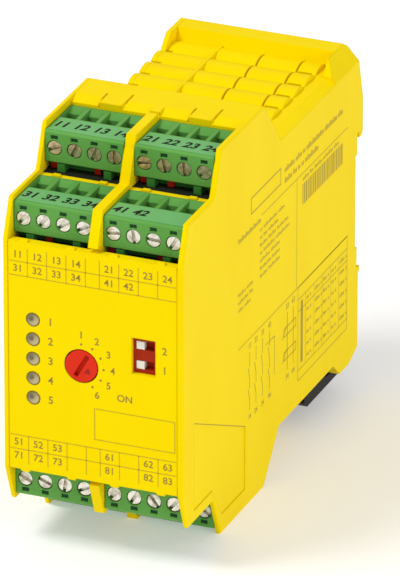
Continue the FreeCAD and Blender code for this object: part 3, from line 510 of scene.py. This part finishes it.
def print_paragraphs(wall):
    """Blocks of small print, as rows of ticks."""
    # start, first level, drop from row to row, height, and each row's word lengths
    paragraphs = (
        (63.6, 27.8, 2.8, 1.5, ((6.5, 4.2, 1.6, 11.0, 8.4, 3.2), (5.0, 2.4, 1.4, 1.4, 8.8))),
        (75.2, 20.6, 2.0, 1.0, ((3.8, 2.4, 4.6, 6.2, 3.4),)),
        (34.4, 21.4, 2.0, 1.3, ((14.5,),)),
        (48.0, 18.8, 2.0, 0.9, ((1.4, 8.5, 4.0), (1.4, 2.6, 6.0), (4.4, 5.0, 7.0),
                                (1.8, 7.6, 9.0), (6.4, 5.4), (7.0, 5.0), (4.8, 7.4))),
        (34.4, 7.6, 2.0, 0.9, ((4.8, 4.0), (6.4, 2.4), (3.2, 4.0))),
    )
    for start, level, drop, height, rows in paragraphs:
        for row, lengths in enumerate(rows):
            wall.ticks(start, level - drop * row, lengths, height)


def print_bars(wall):
    """A strip of bars of mixed widths, which say nothing."""
    place, gap = 75.0, 0.5
    for number in range(23):
        width = 0.4 + 0.1 * (number * 7 % 5) + 0.05 * (number % 3)
        wall.bar(place, place + width, 13.9, 19.3)
        place += width + gap


def print_contacts(wall):
    """A plain contact diagram: four switched lines, two lines through two coils, and a link."""
    stroke, top, bottom = 0.3, -10.0, -25.0
    levels = (top, -13.8, -17.0, -19.4, -22.4, bottom)
    slants = (0, -0.9, 0, -0.9, 0)
    for number, column in enumerate((41.6, 45.6, 49.8, 54.2, 65.6, 69.4)):
        wall.words(str(10 * (number + 1) + 3), column, -8.4, 1.9, bold=0.02)
        wall.words(str(10 * (number + 1) + 4), column, -26.8, 1.9, bold=0.02)
        if number < 4:
            for slant, high, low in zip(slants, levels, levels[1:]):
                wall.line(column + slant, high, column, low, stroke)
        else:
            wall.line(column, top, column, bottom, stroke)
    for level in (-13.6, -19.8):
        wall.box(63.4, 71.0, level - 2.1, level, width=0.28)
        wall.line(62.2, level - 2.3, 65.2, level + 0.3, width=0.28)
    wall.line(51.8, -12.6, 57.4, -12.6, width=0.25)
    wall.line(57.4, -12.6, 57.4, -22.6, width=0.25)


def print_ruled_table(wall):
    """A ruled table behind the diagram, with ticks in its cells."""
    wall.box(TABLE_FRONT, TABLE_BACK, TABLE_BOTTOM, TABLE_TOP, RULE)
    for level in (TABLE_HEAD, TABLE_BODY, TABLE_FOOT):
        wall.line(TABLE_FRONT, level, TABLE_BACK, level, width=0.2)
    for column in range(TABLE_COLUMNS):
        place = TABLE_CELLS + COLUMN_PITCH * column
        wall.line(place, TABLE_HEAD, place, TABLE_FOOT, width=0.14)
    wall.bar(74.2, 75.6, -27.0, -10.8)
    for row in range(6):
        for column in range(TABLE_COLUMNS):
            lengths = (TICK_STEP * (2 + (row * 3 + column * 2) % 3), TICK_STEP)
            wall.ticks(TABLE_CELLS + 0.7 + COLUMN_PITCH * column, -11.4 - 3.0 * row, lengths, 1.0)


def print_wall(material):
    """All the print on the right wall, and one stroke of painted shade, as one piece."""
    wall = Print((RIGHT, FRONT, 0), (0, 1, 0), (0, 0, 1))
    wall.box(42.5, 61.0, 25.2, 29.2, width=0.35)
    # The last of these strokes, from near the wall's front edge down and back, is painted shade along
    # the edge of the wall's raised field; the others are printed rules.
    for u0, v0, u1, v1 in ((49.1, 22.2, 104.4, 22.0), (71.4, 22.2, 71.4, -6.2),
                           (34.4, -6.4, 104.4, -6.6), (7.0, -13.3, 39.0, -28.2)):
        wall.line(u0, v0, u1, v1, RULE)
    print_paragraphs(wall)
    print_bars(wall)
    print_contacts(wall)
    print_ruled_table(wall)
    wall.done("wall_print_and_shade", material, "housing")


# ------------------------------------------------------------------ plugs, bays, dial and spring

POLE_PITCH = 5.0
POLES = [POLE_PITCH * (number - 1.5) for number in range(4)]

# the label film on a plug: its front and back edges from the plug's face, and its end margin
STRIP_FRONT, STRIP_BACK, STRIP_MARGIN = 0.8, 7.8, 0.3
FIGURE_BACK, FIGURE_SIZE = 4.2, 4.1

# the sunk mark over each screw, whose floor gets painted shade: behind the face, in from the top, half
# its width and height
MARK_DEPTH, MARK_DROP, MARK_WIDE, MARK_HIGH = 0.4, 1.6, 0.85, 0.45

# the bays: the plugs' header stands clear of the floor, and painted shade on the floor under the plugs
# starts behind a lip
HEADER_CLEAR, TIER_STEP, LIP, PAINTED_SHADE_REACH = 0.05, 19.5, 1.4, 9.0


def way_up(name):
    """1 for what stands in the top half, -1 for its mirror image in the bottom half."""
    return 1 if name.startswith("top") else -1


def dress_plugs(film, black, shadow):
    """A pale label film on each plug's top, figures on it, and painted shade on the floor of the sunk
    mark over each screw.
    """
    for name, figures in plug_figures().items():
        low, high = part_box("plug_" + name)
        up = way_up(name)
        top = high.z if up > 0 else low.z
        middle = (low.x + high.x) / 2
        across = Vector((up, 0, 0))
        backing = Print((middle, low.y, top), across, (0, 1, 0))
        half = (high.x - low.x) / 2 / MM - STRIP_MARGIN
        backing.bar(-half, half, STRIP_FRONT, STRIP_BACK)
        backing.done("label_film_" + name, film, "plug_" + name)
        label = Print((middle, low.y, top + up * FILM), across, (0, 1, 0))
        for pole, figure in zip(POLES, figures):
            if figure:
                label.words(figure, pole, FIGURE_BACK, FIGURE_SIZE, stretch=0.92, lean=0.18, bold=0.03)
        label.done("label_figures_" + name, black, "plug_" + name)
        # painted shade on the floor of each sunk mark over a screw
        marks = Print((middle, low.y + MARK_DEPTH * MM, top), (1, 0, 0), (0, 0, 1))
        centre = -up * MARK_DROP
        for pole in POLES:
            marks.bar(pole - MARK_WIDE, pole + MARK_WIDE, centre - MARK_HIGH, centre + MARK_HIGH)
        marks.done("screw_mark_shade_" + name, shadow, "plug_" + name)


def paint_bay_shade(material):
    """Painted shade: a dark film on each bay's floor under the plugs, behind a yellow lip, in place of
    their shadow.
    """
    for name in plug_figures():
        up = way_up(name)
        low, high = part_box("header_" + name)
        floor = (low.z if up > 0 else high.z) - up * HEADER_CLEAR * MM
        front = FRONT if "front" in name else FRONT + TIER_STEP * MM
        # gap is the sheet of painted shade on this bay's floor
        gap = Print((0, front, floor), (up, 0, 0), (0, 1, 0))
        left, right = sorted((up * low.x / MM, up * high.x / MM))
        gap.bar(left, right, LIP, LIP + PAINTED_SHADE_REACH)
        gap.done("bay_painted_shade_" + name, material, "housing")


def dress_dial(material):
    """A pressed arrow at the rim of the dial, drawn as a flat dark triangle: painted shade in place of
    its cut.
    """
    low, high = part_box("time_dial")
    face = Print(((low.x + high.x) / 2, low.y, (low.z + high.z) / 2), (1, 0, 0), (0, 0, 1))
    angle = math.radians(-38)
    ahead = Vector((math.cos(angle), math.sin(angle)))
    aside = Vector((-ahead.y, ahead.x))
    tip, foot, spread = ahead * 3.0, ahead * 1.5, aside * 0.9
    face.shape([tuple(corner) for corner in (tip, foot + spread, foot - spread)])
    face.done("dial_arrow", material, "dial")


def bend_spring(material):
    """The foot's leaf spring: a copy of the imported spring that rides on the housing in its place."""
    mesh = bmesh.new()
    mesh.from_mesh(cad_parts["latch_spring"].data)
    leaf = finish_mesh(mesh, "spring_leaf", material, "housing")
    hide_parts("latch_spring")
    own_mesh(leaf)


# ------------------------------------------------------------------ stage

WHITE = (1, 1, 1, 1)
FLOOR_REACH = 6.0
FLOOR_GLOW = 0.30
WORLD_STRENGTH = 0.56
LIT_SPOT = Vector((0, -0.05, 0))


def add_floor():
    """A plain pale floor that glows a little, so that it stays near white."""
    mesh = bmesh.new()
    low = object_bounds()[0].z
    bmesh.ops.create_grid(mesh, x_segments=1, y_segments=1, size=FLOOR_REACH)
    bmesh.ops.translate(mesh, verts=mesh.verts, vec=(0, 0, low))
    paint = Paint("floor", Roughness=0.85, Specular_IOR_Level=0.1, Emission_Color=WHITE,
                  Emission_Strength=FLOOR_GLOW)
    cloud = paint.noise(0.5, 1.0)
    paint.feed("Base Color", paint.blend(cloud, (0.75, 0.75, 0.75, 1), (0.77, 0.77, 0.77, 1)))
    add_object(mesh, "floor", paint.material)


def add_light(name, azimuth, elevation, distance, size, power):
    """A soft round lamp that looks at the lit spot, near the middle of the object."""
    data = bpy.data.lights.new(name, "AREA")
    data.shape = "DISK"
    data.size = size
    data.energy = power
    lamp = bpy.data.objects.new(name, data)
    back = look_direction(azimuth, elevation)
    lamp.location = back * distance + LIT_SPOT
    aim_back(lamp, back)
    bpy.context.scene.collection.objects.link(lamp)


def add_world():
    """Even white light from all round."""
    world = bpy.data.worlds.new("studio")
    world.use_nodes = True
    background = world.node_tree.nodes["Background"]
    background.inputs["Color"].default_value = WHITE
    background.inputs["Strength"].default_value = WORLD_STRENGTH
    bpy.context.scene.world = world
    bpy.context.scene.view_settings.view_transform = "Standard"


# ------------------------------------------------------------------ materials of the nodes

ZINC = ((180, 178, 170), (130, 128, 120), 0.4)


def node_materials():
    """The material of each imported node, by the start of its name. The first that fits counts."""
    yellow = moulded("housing_yellow", (246, 217, 0), (244, 213, 0), 0.5, density=1.25)
    panel = moulded("panel_yellow", (246, 218, 0), (244, 215, 0), 0.45, 0.3 * MM, 0.003 * MM,
                    density=1.25)
    green = moulded("plug_green", (98, 160, 76), (90, 152, 68), 0.4)
    # the headers' darker green is painted shade, for where they stand under the plugs
    dark_green = moulded("header_green", (58, 122, 52), (50, 112, 46), 0.45)
    steel = machined("screw_steel", (232, 228, 216), (188, 182, 166), 0.22)
    brass = machined("screw_dull", (206, 192, 156), (160, 144, 108), 0.26)
    zinc = machined("clamp_steel", *ZINC)
    tin = machined("pin_tin", (214, 206, 170), (190, 180, 140), 0.3)
    red = moulded("dial_red", (222, 52, 30), (210, 44, 26), 0.35, 0.2 * MM, 0.003 * MM, 0.25 * MM)
    switch_red = moulded("dip_red", (176, 52, 26), (160, 44, 22), 0.4, 0.2 * MM, 0.004 * MM,
                         0.15 * MM)
    coding = moulded("coding_red", (200, 44, 26), (186, 36, 22), 0.45)
    white = moulded("slider_white", (240, 240, 232), (228, 228, 220), 0.35)
    black = moulded("latch_black", (26, 26, 27), (34, 34, 35), 0.5)
    case = moulded("relay_case", (44, 46, 48), (52, 54, 56), 0.45)
    sleeve = moulded("capacitor_sleeve", (30, 36, 62), (36, 42, 70), 0.3)
    lens = lamp_window("lens_grey", 1.65 * MM)
    lamp = frosted("lamp_clear", (214, 218, 206), (190, 196, 180))
    board = circuit_board("board_green")
    return {
        "housing_body": yellow, "side_cover": yellow, "front_cover": panel, "plug_": green,
        "header_": dark_green, "clamp_screws_top_rear": brass, "clamp_screws_": steel,
        "wire_clamps_": zinc, "contact_pins": tin, "coding_pieces": coding,
        "status_lenses": lens, "status_lamps": lamp, "time_dial": red,
        "selector_switch": black, "dip_switch": switch_red, "dip_slider": white,
        "front_board": board, "control_board": board, "power_board": board, "board_link": black,
        "relay_": case, "capacitors": sleeve, "logic_chips": black, "rail_latch": black,
        "latch_spring": zinc,
    }


def paint_nodes():
    """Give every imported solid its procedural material."""
    materials = node_materials()
    for name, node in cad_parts.items():
        start = next(start for start in materials if name.startswith(start))
        for slot in node.material_slots:
            slot.material = materials[start]


# ------------------------------------------------------------------ making

add_camera()
add_floor()
add_world()
add_light("key", azimuth=-50, elevation=56, distance=1.3, size=0.5, power=9.0)
add_light("fill", azimuth=72, elevation=16, distance=1.5, size=0.9, power=6.4)
paint_nodes()
print_panel(ink("figure_ink", (156, 130, 40)), ink("rule_ink", (196, 166, 20)))
# the wall's ink draws print, and one stroke of painted shade along a groove
print_wall(ink("wall_ink_and_shade", (172, 144, 36)))
film = moulded("label_film", (112, 178, 108), (106, 172, 102), 0.45, 0.2 * MM, 0.003 * MM)
# black ink for the figures; the last ink is painted shade on the floors of the sunk marks over the
# screws
dress_plugs(film, ink("black_ink", (16, 18, 16)), ink("mark_shade_green", (14, 70, 34)))
# painted shade: the dark arrow pressed into the dial
dress_dial(ink("arrow_shade_red", (150, 26, 18)))
# painted shade: dark sheets on the bays' floors under the plugs
paint_bay_shade(ink("painted_shade_black", (26, 30, 20)))
bend_spring(machined("leaf_steel", *ZINC))
